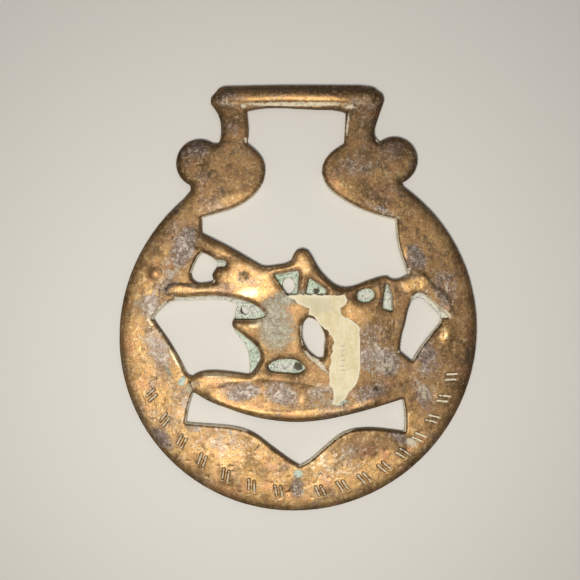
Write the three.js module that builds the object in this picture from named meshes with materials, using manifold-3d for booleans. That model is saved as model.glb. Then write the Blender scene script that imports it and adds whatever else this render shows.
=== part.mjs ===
// An openwork horse brass, cast in one piece, lying on its face with its plain back up,
// and the torn remnant of a paper label that is stuck on its back.
// Millimetres, +Z up, +Y towards the hanger. The origin is under the middle of the outline.
import * as THREE from "three";
import { mergeVertices } from "three/addons/utils/BufferGeometryUtils.js";
import Module from "manifold-3d";

const wasm = await Module();
wasm.setup();

// Heights above the plane that the face lies on.
const PLATE_BACK = 2.7; // back of the ring and lobes
const FIGURE_BACK = 3.2; // back of the fretwork figure, which stands proud of the ring
const ARM_BACK = 3.0; // the figure's right arm where it lies over the ring
const LEDGE_Z = 1.2; // thin flash left in the corners of the windows
const POCKET_Z = 0.9; // floor of the blind pockets
const FACE_SINK = 0.4; // how far the face of the ring is sunk behind its plain rim

// Edge treatment.
const OUTER_ROUND = 1.0; // rounding of the outer edge, across
const OUTER_DROP = 0.8; // the same, down
const WINDOW_CHAMFER = 0.45; // broken edge round each opening
const FIGURE_ROUND = 0.7; // rounding of the figure's edges, across
const FIGURE_DROP = 0.6;
const FIGURE_INSET = 0.12; // how far the figure's wall stands behind the window's wall

// The ring: a nearly round ellipse, its long axis leaning to the upper right.
const RING = { x: 0, y: -7.4, major: 38.3, minor: 37.4, tilt: 39 };
const RIM_WIDTH = 3; // plain rim on the face
const FRET_WIDTH = 15; // the sunk band on the face reaches this far in from the edge
const RING_FROM = 15.5; // the ring meets the right lobe here, in degrees round the ellipse
const RING_TO = -271.9; // and, going round by the bottom, the left lobe here

// The hanger bar: an oval bar with domed ends, standing a little proud of the flared hanger.
const BAR = { left: -15.4, right: 15.0, y: 42.7, bow: 0.2, width: 4.5, facets: 16, steps: 10 };
const BAR_DOME = 2.4; // length of each domed end

// The label.
const LABEL_THICKNESS = 0.14;

const STEP = 1.3; // length of a chord along a drawn curve
const SAG = 0.02; // how far a chord of a round edge may stand inside it
const BEYOND = 1; // how far a cutter runs past the face it cuts
const BITE = 0.02; // how far two joined solids run into each other

const radians = THREE.MathUtils.degToRad;

// ---------------------------------------------------------------- outlines

const point = ([x, y]) => new THREE.Vector2(x, y);
const smooth = (...points) => new THREE.SplineCurve(points.map(point));
const straight = (from, to) => new THREE.LineCurve(point(from), point(to));
const arc = (x, y, radius, from, to) =>
  new THREE.EllipseCurve(x, y, radius, radius, radians(from), radians(to), to < from, 0);

function ringArc(inset, from, to) {
  return new THREE.EllipseCurve(
    RING.x,
    RING.y,
    RING.major - inset,
    RING.minor - inset,
    radians(from),
    radians(to),
    to < from,
    radians(RING.tilt),
  );
}

// The points of one run, without its last, which is the next run's first.
function chords(run) {
  if (run.isLineCurve) return [run.getPoint(0)];
  const chord = run.isEllipseCurve ? Math.sqrt(8 * run.xRadius * SAG) : STEP;
  const count = Math.max(2, Math.round(run.getLength() / chord));
  return run.getSpacedPoints(count).slice(0, -1);
}

const reversed = (points) => [...points].reverse();
const outline = (...runs) => new THREE.Shape(runs.flatMap(chords));

function oval(x, y, halfWidth, halfHeight, tilt = 0, count = 16) {
  const run = new THREE.EllipseCurve(
    x, y, halfWidth, halfHeight, 0, 2 * Math.PI, false, radians(tilt),
  );
  return new THREE.Shape(run.getPoints(count).slice(0, -1));
}

// ---------------------------------------------------------------- solids

function solid(geometry) {
  geometry.deleteAttribute("normal");
  geometry.deleteAttribute("uv");
  const merged = mergeVertices(geometry, 1e-4);
  return new wasm.Manifold(
    new wasm.Mesh({
      numProp: 3,
      vertProperties: merged.attributes.position.array,
      triVerts: new Uint32Array(merged.index.array),
    }),
  );
}

// A plate between two heights, its edges rounded inwards from the outline.
function plate(shape, low, high, round = 0, drop = 0, inset = 0) {
  const geometry = new THREE.ExtrudeGeometry(shape, {
    depth: high - low - 2 * drop,
    bevelEnabled: round > 0,
    bevelSize: round,
    bevelThickness: drop,
    bevelOffset: -round - inset,
    bevelSegments: 2,
  });
  return solid(geometry.translate(0, 0, low + drop));
}

// A cutter with straight walls from low, opening out to a chamfer at the surface above.
function cutter(shape, low, surface, chamfer = WINDOW_CHAMFER) {
  const shaft = plate(shape, low, surface + BEYOND);
  const mouth = new THREE.ExtrudeGeometry(shape, {
    depth: BEYOND,
    bevelSize: chamfer + BITE,
    bevelThickness: chamfer,
    bevelOffset: -BITE,
    bevelSegments: 1,
  });
  return shaft.add(solid(mouth.translate(0, 0, surface)));
}

// A low dome or, as a cutter, a shallow dish: a squashed ball.
function lens(x, y, z, halfLength, halfWidth, halfHeight, tilt = 0) {
  const ball = new THREE.SphereGeometry(1, 16, 8);
  ball.rotateX(Math.PI / 2).scale(halfLength, halfWidth, halfHeight);
  return solid(ball.rotateZ(radians(tilt)).translate(x, y, z));
}

function slab(width, length, height, place, tilt = 0, lean = 0) {
  const box = new THREE.BoxGeometry(width, length, height);
  return solid(box.rotateY(radians(lean)).rotateZ(radians(tilt)).translate(...place));
}

// ---------------------------------------------------------------- shared edges

// Edges of the figure that are also edges of the windows beside them.
const FIGURE_TOP = [
  [23.4, 4.9], [21.1, 4.0], [19.8, 3.9], [18.6, 4.7], [15.2, 3.8], [12.0, 2.6],
  [9.9, 2.2], [8.0, 2.7], [6.3, 4.0], [4.4, 6.2], [3.0, 8.7], [2.2, 10.0],
  [1.1, 10.5], [-0.1, 10.3], [-0.9, 9.5], [-1.3, 8.1], [-2.3, 7.4], [-4.9, 6.9],
  [-7.2, 6.7], [-9.1, 7.6], [-14.4, 10.7], [-20.4, 13.7],
];
const HULL_TOP = [[-22.6, -16.7], [-21.1, -15.8], [-18.4, -15.4], [-14.4, -15.7], [-10.3, -16.3]];
const HULL_BOTTOM = [
  [22.2, -21.4], [19.4, -22.3], [15.2, -23.6], [11.0, -24.7], [5.7, -25.8], [0.4, -26.3],
  [-3.8, -26.1], [-8.4, -25.4], [-13.3, -24.0], [-18.6, -22.0], [-22.2, -19.9],
];
const RIGHT_WINDOW_LEFT = [
  [25.5, 0.1], [24.1, -0.8], [23.3, -2.5], [22.6, -5.7], [21.9, -8.2], [21.5, -11.3],
];
const CRESCENT = [
  [-10.3, -16.3], [-8.8, -14.6], [-7.9, -12.7], [-8.6, -10.6], [-10.1, -9.1], [-12.2, -7.4],
  [-13.9, -6.3],
];
const NOSE = [[-13.9, -6.3], [-14.1, -5.3], [-13.4, -4.4]];
const BEAM_UNDERSIDE = [
  [-6.7, -3.8], [-8.4, -2.0], [-10.8, -0.8], [-13.5, -0.1], [-17.0, 0.4], [-21.1, 0.3],
  [-24.0, 0.1], [-26.4, 0.3],
];
const SMALL_HOLE_RIGHT = [
  [-20.4, 9.6], [-19.2, 9.1], [-17.7, 8.2], [-17.0, 7.2], [-17.6, 6.0], [-18.3, 5.0],
  [-17.8, 3.6],
];
const HEART_HOLE = [
  [2.1, -4.1], [1.2, -5.1], [0.8, -6.8], [0.9, -8.7], [1.5, -10.2], [2.6, -11.7],
  [4.9, -13.1], [5.5, -11.4], [5.5, -9.7], [5.8, -8.4], [5.3, -7.0], [4.4, -5.3], [3.3, -4.4],
];

// ---------------------------------------------------------------- the outlines themselves

const silhouette = outline(
  smooth([-11.2, 45.0], [0, 45.15], [13.1, 45.1]),
  smooth([13.1, 45.1], [15.2, 44.8], [16.9, 44.0], [18.2, 43.0], [18.3, 41.8], [17.6, 39.9],
    [16.8, 37.5], [16.2, 35.3], [16.4, 34.1], [17.1, 33.4]),
  arc(20.4, 29.2, 5, 130, -55),
  straight([23.3, 25.1], [22.0, 24.4]),
  straight([22.0, 24.4], [22.6, 23.9]),
  ringArc(0, RING_FROM, RING_TO),
  straight([-22.8, 22.8], [-22.3, 23.6]),
  arc(-20.9, 28.6, 5.05, 247, 56),
  smooth([-18.1, 32.8], [-16.9, 32.7], [-16.4, 34.4], [-16.4, 36.7], [-16.8, 38.6],
    [-17.7, 40.2], [-18.7, 41.5], [-18.6, 42.4], [-17.8, 43.4], [-16.1, 44.1], [-13.9, 44.6],
    [-11.2, 45.0]),
);

// The large opening: strap slot, heart between the lobes and the sky above the figure.
const upperOpening = outline(
  smooth([-10.9, 39.9], [-6, 40.6], [2.5, 40.3], [7.8, 40.1], [10.2, 39.5]),
  smooth([10.2, 39.5], [10.0, 35.9], [9.8, 32.7]),
  smooth([9.8, 32.7], [7.3, 31.1], [5.6, 29.1], [5.1, 27.1], [5.6, 24.9], [7.0, 22.9],
    [10.1, 20.7], [13.5, 18.9], [17.5, 17.5], [20.8, 16.7]),
  smooth([20.8, 16.7], [21.0, 13.1], [21.6, 10.1], [22.5, 7.4], [23.4, 4.9]),
  smooth(...FIGURE_TOP),
  straight([-20.4, 13.7], [-20.5, 17.1]),
  smooth([-20.5, 17.1], [-16.9, 18.1], [-13.7, 19.1], [-10.8, 20.7], [-8.6, 22.7],
    [-7.3, 25.1], [-7.0, 27.8], [-7.7, 29.8], [-9.1, 31.4], [-10.9, 32.9]),
  smooth([-10.9, 32.9], [-10.5, 34.8], [-10.6, 36.9], [-10.9, 39.9]),
);

const leftWindow = outline(
  smooth([-30.8, -4.3], [-29.1, -2.3], [-26.8, -0.7], [-22.8, -0.5], [-18.6, -0.4],
    [-15.4, -0.5], [-12.8, -1.5]),
  smooth([-12.8, -1.5], [-13.4, -2.9], [-13.4, -4.4], [-14.2, -5.3], [-13.9, -6.3]),
  smooth([-13.9, -6.3], [-13.5, -7.1], [-12.0, -8.9], [-11.0, -10.4], [-10.4, -12.5],
    [-10.3, -16.3]),
  smooth(...reversed(HULL_TOP)),
  smooth([-22.6, -16.7], [-23.5, -16.3], [-25.1, -13.1], [-27.2, -9.5], [-29.1, -6.8],
    [-30.8, -4.3]),
);

const rightWindow = outline(
  smooth(...RIGHT_WINDOW_LEFT),
  straight([21.5, -11.3], [24.2, -13.5]),
  smooth([24.2, -13.5], [25.1, -11.8], [26.4, -9.9], [28.3, -7.5], [30.0, -5.5],
    [30.5, -4.1], [29.6, -3.0], [27.7, -1.1], [26.6, -0.1], [25.5, 0.1]),
);

const bottomOpening = outline(
  straight([-22.2, -19.9], [-23.2, -23.0]),
  straight([-23.2, -23.0], [-23.8, -26.5]),
  smooth([-23.8, -26.5], [-19.6, -26.8], [-15.4, -27.1], [-12.0, -27.7], [-9.1, -28.9],
    [-5.5, -31.6], [-2.1, -34.1], [0.3, -35.6]),
  smooth([0.3, -35.6], [2.7, -34.2], [5.9, -31.4], [8.9, -29.0], [11.6, -27.9],
    [15.4, -27.6], [19.0, -27.9], [22.6, -28.4]),
  smooth([22.6, -28.4], [22.7, -25.8], [22.5, -23.2], [22.2, -21.4]),
  smooth(...HULL_BOTTOM),
);

const smallHole = outline(
  smooth([-17.8, 3.6], [-19.8, 3.1], [-21.5, 3.2], [-22.7, 4.4], [-22.6, 5.7],
    [-21.9, 7.4], [-21.2, 8.8], [-20.4, 9.6]),
  smooth(...SMALL_HOLE_RIGHT),
);

const heartHole = outline(smooth(...HEART_HOLE, HEART_HOLE[0]));

// The figure's own outline. Its ends lie over the ring, and its right side dies into it.
const figure = outline(
  smooth(...FIGURE_TOP),
  smooth([-20.4, 13.7], [-21.7, 14.5], [-23.0, 14.4], [-23.4, 13.1], [-22.8, 11.6],
    [-21.6, 10.4], [-20.4, 9.6]),
  smooth(...SMALL_HOLE_RIGHT),
  smooth([-17.8, 3.6], [-20.4, 3.2], [-23.6, 3.1], [-26.3, 3.2], [-27.8, 2.6],
    [-28.2, 1.5], [-27.6, 0.5], [-26.4, 0.3]),
  smooth(...reversed(BEAM_UNDERSIDE)),
  smooth([-6.7, -3.8], [-8.6, -4.4], [-10.9, -4.5], [-13.4, -4.4]),
  smooth(...reversed(NOSE)),
  smooth(...reversed(CRESCENT)),
  smooth(...reversed(HULL_TOP)),
  smooth([-22.6, -16.7], [-23.3, -17.5], [-23.1, -18.7], [-22.2, -19.9]),
  smooth(...reversed(HULL_BOTTOM)),
  smooth([22.2, -21.4], [25.5, -19.5], [26.0, -15.5], [24.2, -13.5]),
  straight([24.2, -13.5], [21.5, -11.3]),
  smooth(...reversed(RIGHT_WINDOW_LEFT)),
  smooth([25.5, 0.1], [25.2, 2.6], [23.4, 4.9]),
);

// The arm that runs on over the ring, above the right window.
const arm = outline(
  smooth([21.4, 4.0], [25.0, 5.7], [26.9, 5.0], [28.4, 3.0], [30.6, 1.5], [32.2, -0.4],
    [32.7, -2.3], [31.6, -3.3], [30.0, -2.2], [27.9, -0.1], [26.2, 1.2], [23.8, 0.6],
    [21.4, 4.0]),
);

// Blind pockets in the figure: two triangles either side of a strut, an oval and two slots.
const pockets = [
  outline(
    straight([-5.2, 4.9], [-2.3, 0.5]),
    straight([-2.3, 0.5], [-0.2, 0.6]),
    straight([-0.2, 0.6], [0.2, 5.8]),
    straight([0.2, 5.8], [-5.2, 4.9]),
  ),
  outline(
    straight([2.3, 4.3], [1.6, 0.6]),
    straight([1.6, 0.6], [5.9, 0.7]),
    straight([5.9, 0.7], [6.0, 1.8]),
    straight([6.0, 1.8], [2.3, 4.3]),
  ),
  oval(14.3, 0.5, 2.0, 1.5, 15),
  outline(
    straight([18.7, 3.7], [18.2, 0.8]),
    straight([18.2, 0.8], [17.8, -2.3]),
    straight([17.8, -2.3], [20.0, -2.9]),
    straight([20.0, -2.9], [19.8, 0.8]),
    straight([19.8, 0.8], [18.7, 3.7]),
  ),
  outline(
    smooth([-6.5, -14.4], [-5.0, -13.3], [-2.7, -12.9], [-0.2, -13.2], [1.7, -14.9]),
    smooth([1.7, -14.9], [0.2, -16.0], [-2.3, -15.9], [-5.9, -15.5], [-6.5, -14.4]),
  ),
];
const pocketHole = oval(-2.0, 2.6, 1.3, 1.7);

// Thin flash that fills the corners of the windows low down, as the cuts that leave it.
const ledges = [
  outline(
    smooth(...BEAM_UNDERSIDE),
    straight([-26.4, 0.3], [-25, -3]),
    straight([-25, -3], [-14.5, -4]),
    smooth([-14.5, -4], [-13.4, -4.4], [-10.9, -4.5], [-8.6, -4.4], [-6.7, -3.8]),
  ),
  outline(
    smooth(...reversed(CRESCENT)),
    straight([-10.3, -16.3], [-12, -14]),
    straight([-12, -14], [-15, -6.3]),
    straight([-15, -6.3], [-13.9, -6.3]),
  ),
  outline(
    smooth([-18.4, 8.2], [-16.3, 8.0], [-15.0, 7.9], [-15.0, 6.9], [-16.3, 6.4],
      [-18.4, 6.6]),
    straight([-18.4, 6.6], [-18.4, 8.2]),
  ),
  outline(
    smooth([23.6, -0.9], [24.9, 1.1], [26.6, 0.9], [28.3, -0.5], [30.0, -2.1],
      [31.6, -3.6], [32.3, -4.3]),
    straight([32.3, -4.3], [28.0, -4.3]),
    straight([28.0, -4.3], [23.6, -0.9]),
  ),
];
const flashTear = outline(
  smooth([-12.1, -1.7], [-11.0, -2.0], [-10.4, -2.6], [-10.6, -3.5], [-11.6, -3.6],
    [-12.0, -2.7], [-12.1, -1.7]),
);

// ---------------------------------------------------------------- the casting

function hangerBar() {
  const middle = (BAR.left + BAR.right) / 2;
  const path = new THREE.QuadraticBezierCurve3(
    new THREE.Vector3(BAR.left, BAR.y, FIGURE_BACK / 2),
    new THREE.Vector3(middle, BAR.y + BAR.bow, FIGURE_BACK / 2),
    new THREE.Vector3(BAR.right, BAR.y, FIGURE_BACK / 2),
  );
  // Half a facet of turn puts a flat on top and one underneath.
  const flat = 1 / Math.cos(Math.PI / BAR.facets);
  const section = [...Array(BAR.facets).keys()].map((i) => {
    const turn = (2 * Math.PI * (i + 0.5)) / BAR.facets;
    return new THREE.Vector2(
      (FIGURE_BACK / 2) * flat * Math.cos(turn),
      (BAR.width / 2) * Math.sin(turn),
    );
  });
  const bar = solid(
    new THREE.ExtrudeGeometry(new THREE.Shape(section), {
      extrudePath: path,
      steps: BAR.steps,
      bevelEnabled: false,
    }),
  );
  return [BAR.left, BAR.right].reduce(
    (all, x) =>
      all.add(lens(x, BAR.y, FIGURE_BACK / 2, BAR_DOME, BAR.width / 2, FIGURE_BACK / 2)),
    bar,
  );
}

// The face of the ring is sunk between its rim and the figure, all round below the lobes.
function sunkBand() {
  const from = RING_FROM - 8;
  const to = RING_TO + 8;
  const outer = ringArc(RIM_WIDTH, from, to);
  const inner = ringArc(FRET_WIDTH, to, from);
  const band = outline(
    outer,
    new THREE.LineCurve(outer.getPoint(1), inner.getPoint(0)),
    inner,
    new THREE.LineCurve(inner.getPoint(1), outer.getPoint(0)),
  );
  return plate(band, -BEYOND, FACE_SINK);
}

// Rows of short slanted strokes, struck lightly along the lower ring.
const STROKE = { width: 0.4, length: 2.1, depth: 0.25, inset: 4.2, pair: 1.2, slant: 18 };
const STROKE_ROWS = [
  { from: 203, to: 263, count: 7 },
  { from: 278, to: 344, count: 9 },
];

function strokes() {
  const cuts = STROKE_ROWS.flatMap(({ from, to, count }) =>
    [...Array(count).keys()].flatMap((i) => {
      const bearing = from + ((to - from) * i) / (count - 1);
      return [-1, 1].map((side) => {
        const radius = (RING.major + RING.minor) / 2 - STROKE.inset;
        const turn = bearing + (side * STROKE.pair * 90) / (Math.PI * radius);
        const place = [
          RING.x + radius * Math.cos(radians(turn)),
          RING.y + radius * Math.sin(radians(turn)),
          PLATE_BACK,
        ];
        const tilt = bearing + 90 + STROKE.slant;
        return slab(STROKE.width, STROKE.length, 2 * STROKE.depth, place, tilt);
      });
    }),
  );
  return cuts.reduce((all, cut) => all.add(cut));
}

// The figure's back is level except on the right, where it slopes down into the ring.
const SLOPE = { from: 13.5, to: 24.5, top: FIGURE_BACK, bottom: PLATE_BACK - 0.05 };

function figurePlate() {
  const body = plate(figure, 0, FIGURE_BACK, FIGURE_ROUND, FIGURE_DROP, FIGURE_INSET);
  const run = SLOPE.to - SLOPE.from;
  const lean = Math.atan2(SLOPE.top - SLOPE.bottom, run);
  const size = 60;
  const planer = slab(
    size,
    size,
    2,
    [
      SLOPE.from + (size / 2) * Math.cos(lean) + Math.sin(lean),
      -10,
      SLOPE.top - (size / 2) * Math.sin(lean) + Math.cos(lean),
    ],
    0,
    THREE.MathUtils.radToDeg(lean),
  );
  return body.subtract(planer);
}

// Shallow forms: the belly of the hull is dished, and lumps stand on the figure and ring.
const DISHES = [
  { x: -5.5, y: -20.6, halfLength: 13, halfWidth: 3.4, depth: 0.35, tilt: -3 },
  { x: 9.5, y: -21.2, halfLength: 8, halfWidth: 2.4, depth: 0.2, tilt: 8 },
];
const LUMPS = [
  { x: -30.2, y: 5.2, z: PLATE_BACK, halfLength: 1.4, halfWidth: 1.3, rise: 0.5, tilt: 0 },
  { x: 31.5, y: -7.7, z: PLATE_BACK, halfLength: 1.9, halfWidth: 1.1, rise: 0.5, tilt: 70 },
  { x: 6.35, y: -10.4, z: FIGURE_BACK - 0.05, halfLength: 2.4, halfWidth: 0.45, rise: 0.2, tilt: 97 },
];

function casting() {
  let body = plate(silhouette, 0, PLATE_BACK, OUTER_ROUND, OUTER_DROP);
  body = body.subtract(sunkBand());
  for (const shape of [upperOpening, leftWindow, rightWindow, bottomOpening, smallHole])
    body = body.subtract(cutter(shape, -BEYOND, PLATE_BACK));
  body = body.add(plate(arm, FACE_SINK + 0.5, ARM_BACK, 0.5, 0.4));
  body = body.add(figurePlate()).add(hangerBar());
  body = body.subtract(cutter(heartHole, -BEYOND, FIGURE_BACK));
  for (const shape of pockets) body = body.subtract(plate(shape, POCKET_Z, FIGURE_BACK + BEYOND));
  for (const shape of ledges) body = body.subtract(plate(shape, LEDGE_Z, FIGURE_BACK + BEYOND));
  for (const shape of [pocketHole, flashTear])
    body = body.subtract(plate(shape, -BEYOND, POCKET_Z + BEYOND));
  for (const { x, y, halfLength, halfWidth, depth, tilt } of DISHES)
    body = body.subtract(lens(x, y, FIGURE_BACK, halfLength, halfWidth, depth, tilt));
  for (const { x, y, z, halfLength, halfWidth, rise, tilt } of LUMPS)
    body = body.add(lens(x, y, z, halfLength, halfWidth, rise, tilt));
  return body.subtract(strokes());
}

// ---------------------------------------------------------------- the label

// What is left of a paper label, torn down its left side and round the heart-shaped hole.
const label = outline(
  smooth([-2.3, 0.3], [0.4, 0.8], [3.6, 0.6], [6.8, 0.7], [9.6, 0.5]),
  smooth([9.6, 0.5], [10.4, -0.4], [9.7, -1.5], [8.8, -2.4]),
  smooth([8.8, -2.4], [9.5, -3.8], [11.6, -4.9], [13.0, -6.3]),
  straight([13.0, -6.3], [13.1, -14.8]),
  smooth([13.1, -14.8], [12.5, -17.7], [10.9, -19.6], [9.6, -21.6], [8.2, -22.7],
    [7.0, -22.3]),
  smooth([7.0, -22.3], [7.5, -21.0], [6.9, -18.4], [6.8, -15.2], [7.1, -11.4], [7.6, -9.1],
    [6.8, -7.6], [5.1, -5.8], [3.8, -4.5], [2.1, -3.6]),
  smooth([2.1, -3.6], [2.4, -2.1], [0.2, -1.4], [-2.3, 0.3]),
);

// ---------------------------------------------------------------- the object

function meshOf(name, body, finish) {
  const { vertProperties, triVerts } = body.getMesh();
  const geometry = new THREE.BufferGeometry();
  geometry.setAttribute("position", new THREE.BufferAttribute(vertProperties, 3));
  geometry.setIndex(new THREE.BufferAttribute(triVerts, 1));
  const material = new THREE.MeshStandardMaterial({ ...finish, flatShading: true });
  const mesh = new THREE.Mesh(geometry, material);
  mesh.name = name;
  return mesh;
}

const AGED_BRASS = { color: 0x8a6a35, roughness: 0.42, metalness: 1 };
const OLD_PAPER = { color: 0xe0d2a2, roughness: 0.9, metalness: 0 };

const brassCasting = meshOf("brass_casting", casting(), AGED_BRASS);
const paperLabel = meshOf("paper_label", plate(label, 0, LABEL_THICKNESS), OLD_PAPER);
paperLabel.position.z = FIGURE_BACK;

const horseBrass = new THREE.Group();
horseBrass.add(brassCasting, paperLabel);

export default horseBrass;
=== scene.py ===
# %% [markdown]
# # A horse brass, seen from its back
# A horse brass is a flat ornament that hangs on the strap of a horse's harness. This one is a
# single brass casting: a round ring, two lobed shoulders, a flared hanger with an oval bar,
# and a fretwork figure inside the ring. It lies on its face, so its plain back shows, with a
# torn scrap of an old paper label still stuck to it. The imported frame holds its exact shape
# and size; this script gives it a cast and worn surface.

# %% Load the frame
import math

import bmesh
import bpy
import numpy as np
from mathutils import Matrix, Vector
from mathutils.bvhtree import BVHTree
from mathutils.kdtree import KDTree


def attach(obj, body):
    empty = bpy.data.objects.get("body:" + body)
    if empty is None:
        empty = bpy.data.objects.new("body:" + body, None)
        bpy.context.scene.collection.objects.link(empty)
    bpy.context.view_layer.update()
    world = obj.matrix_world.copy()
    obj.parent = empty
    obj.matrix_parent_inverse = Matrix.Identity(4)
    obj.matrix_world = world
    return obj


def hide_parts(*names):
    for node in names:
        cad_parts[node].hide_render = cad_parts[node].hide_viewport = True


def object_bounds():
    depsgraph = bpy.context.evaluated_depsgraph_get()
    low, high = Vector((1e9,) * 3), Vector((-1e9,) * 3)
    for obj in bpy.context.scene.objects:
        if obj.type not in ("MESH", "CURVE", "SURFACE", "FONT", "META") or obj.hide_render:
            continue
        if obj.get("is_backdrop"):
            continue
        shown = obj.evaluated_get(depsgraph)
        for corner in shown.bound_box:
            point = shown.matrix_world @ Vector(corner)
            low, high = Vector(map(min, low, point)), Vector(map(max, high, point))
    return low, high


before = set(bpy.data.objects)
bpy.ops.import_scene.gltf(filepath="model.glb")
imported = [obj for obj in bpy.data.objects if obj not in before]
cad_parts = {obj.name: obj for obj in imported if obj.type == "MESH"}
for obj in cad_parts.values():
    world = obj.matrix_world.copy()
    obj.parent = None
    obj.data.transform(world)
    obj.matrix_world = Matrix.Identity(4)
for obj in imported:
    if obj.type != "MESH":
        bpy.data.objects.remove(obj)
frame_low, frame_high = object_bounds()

MM = 0.001  # one millimetre in Blender's metres


def new_object(name, data):
    """An object in the scene that shows a mesh, a lamp or a camera."""
    made = bpy.data.objects.new(name, data)
    bpy.context.scene.collection.objects.link(made)
    return made


size_mm = [round((high - low) / MM, 2) for low, high in zip(frame_low, frame_high)]
print("the brass measures, in mm:", size_mm)

# %% [markdown]
# ## The camera
# The brass is seen from straight above and from close by, so the walls of its openings show
# a little wherever they face the middle. The lens is worked out from the width of the
# picture at the height of the back.

# %% Camera
PICTURE_WIDTH = 122.4  # mm across the picture, at the back of the brass
AIM = Vector((-1.7, 1.7, 2.8)) * MM
DISTANCE = 0.17  # metres from the lens to that point
SENSOR = 36.0  # mm wide

camera_data = bpy.data.cameras.new("camera")
camera_data.sensor_width = SENSOR
camera_data.lens = SENSOR * DISTANCE / (PICTURE_WIDTH * MM)
camera_data.clip_start = 0.01
camera = new_object("camera", camera_data)
camera.location = AIM + Vector((0, 0, DISTANCE))
bpy.context.scene.camera = camera
print("lens, mm:", round(camera_data.lens, 1))

# %% [markdown]
# ## Arrays for sculpting
# A cast surface is sculpted here by moving vertices. Blender hands a mesh's points over as
# one long array, and whole-array sums are quick, so a few helpers read and write that array,
# in millimetres, and blur any value over the mesh along its edges.

# %% Reading, writing and blurring
def points_of(mesh):
    """A mesh's points as rows of x, y and z, in millimetres."""
    flat = np.empty(len(mesh.vertices) * 3, np.float32)
    mesh.vertices.foreach_get("co", flat)
    return flat.reshape(-1, 3).astype(float) / MM


def normals_of(mesh):
    """The direction that each point faces, as rows of x, y and z."""
    flat = np.empty(len(mesh.vertices) * 3, np.float32)
    mesh.vertex_normals.foreach_get("vector", flat)
    return flat.reshape(-1, 3).astype(float)


def move_points(mesh, points):
    """Put a mesh's points at new places."""
    mesh.vertices.foreach_set("co", (points * MM).astype(np.float32).ravel())
    mesh.update()


def edges_of(mesh):
    """The numbers of the two points that each edge joins."""
    flat = np.empty(len(mesh.edges) * 2, np.int32)
    mesh.edges.foreach_get("vertices", flat)
    return flat.reshape(-1, 2)


def blurred(values, edges, times, share=0.5):
    """Each point's value moved towards the mean of its neighbours, a number of times."""
    values = np.array(values, float)
    columns = values.reshape(len(values), -1)
    ends = np.concatenate([edges[:, 0], edges[:, 1]])
    others = np.concatenate([edges[:, 1], edges[:, 0]])
    degree = np.maximum(np.bincount(ends, minlength=len(columns)), 1)
    for _ in range(times):
        for c in range(columns.shape[1]):
            total = np.bincount(ends, weights=columns[others, c], minlength=len(columns))
            columns[:, c] += share * (total / degree - columns[:, c])
    return columns.reshape(values.shape)


def ramp(values, low, high):
    """0 below low, 1 above high, and a smooth rise between."""
    t = np.clip((values - low) / (high - low), 0, 1)
    return t * t * (3 - 2 * t)


# %% Noise with a real size
def lattice(cells, seed):
    """A repeatable number from -1 to 1 for each cell of a grid."""
    x, y, z = (cells[:, i].astype(np.int64) for i in range(3))
    mixed = (x * 73856093) ^ (y * 19349663) ^ (z * 83492791) ^ (seed * 39916801)
    mixed = ((mixed ^ (mixed >> 13)) * 1274126177) & 0x7FFFFFFF
    return ((mixed ^ (mixed >> 15)) & 0xFFFF) / 32767.5 - 1


def lumps(points, size, seed):
    """Smooth lumps from -1 to 1, about size millimetres across."""
    place = points / size + seed * 17.3
    cell = np.floor(place)
    part = place - cell
    part = part * part * (3 - 2 * part)
    total = np.zeros(len(points))
    for corner in np.ndindex(2, 2, 2):
        corner = np.array(corner)
        weight = np.prod(np.where(corner, part, 1 - part), axis=1)
        total += weight * lattice(cell + corner, seed)
    return total


def rough(points, size, seed, octaves=3):
    """Lumps with smaller lumps on them."""
    total = sum(lumps(points, size / 2**i, seed + i) / 2**i for i in range(octaves))
    return total / (2 - 2 ** (1 - octaves))


# %% [markdown]
# ## The casting's skin
# The frame's mesh has the right shape, but its faces are long thin triangles with nothing in
# them to sculpt. A voxel remesh lays an even skin of small squares over it, as a sculptor
# would. It needs a closed mesh, so the copy's doubled corners are merged first. The frame's
# own object stays untouched.

# %% An even skin
VOXEL = 0.19  # mm, fine enough for the smallest marks on the back
SKIN_PASSES = 4  # blurs that take out the steps of the remesh


def merged_copy(node, name):
    """A new object with a node's mesh, its doubled corners merged."""
    bm = bmesh.new()
    bm.from_mesh(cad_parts[node].data)
    bmesh.ops.remove_doubles(bm, verts=bm.verts, dist=0.0005 * MM)
    mesh = bpy.data.meshes.new(name)
    bm.to_mesh(mesh)
    bm.free()
    return new_object(name, mesh)


def apply_modifiers(obj):
    """The object's mesh with its modifiers worked into it."""
    graph = bpy.context.evaluated_depsgraph_get()
    mesh = bpy.data.meshes.new_from_object(obj.evaluated_get(graph))
    obj.modifiers.clear()
    obj.data = mesh
    return mesh


casting = merged_copy("brass_casting", "horse_brass")
remesh = casting.modifiers.new("skin", "REMESH")
remesh.mode = "VOXEL"
remesh.voxel_size = VOXEL * MM
skin = apply_modifiers(casting)
points = blurred(points_of(skin), edges_of(skin), SKIN_PASSES)
move_points(skin, points)
print("the skin has", len(points), "points")

# %% [markdown]
# ## Soft edges
# Sand casting and a quick grind leave no sharp edge: the back rolls over towards every wall,
# broadly on the figure, whose bars are almost round, and along the outside of the ring, and
# hardly at all along the openings. So each point of the back is lowered by how near it is to
# a wall. A floor of a pocket rises there instead, as a fillet. The walls are found by their
# normals, which lie nearly flat, and their upper part sinks with the rim, so no lip is left.
# A last blur takes the corner off each rim, as molten metal never fills a corner sharply.

# %% Distance to the nearest wall
def to_walls(points, normals):
    """For each point that faces up or down, how far its nearest wall is, seen from above."""
    wall = np.abs(normals[:, 2]) < 0.45
    tree = KDTree(int(wall.sum()))
    for i, (x, y, z) in enumerate(points[wall]):
        tree.insert((x, y, 0), i)
    tree.balance()
    reach = np.zeros(len(points))
    for i in np.flatnonzero(~wall):
        x, y, z = points[i]
        reach[i] = tree.find((x, y, 0))[2]
    return reach


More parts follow.
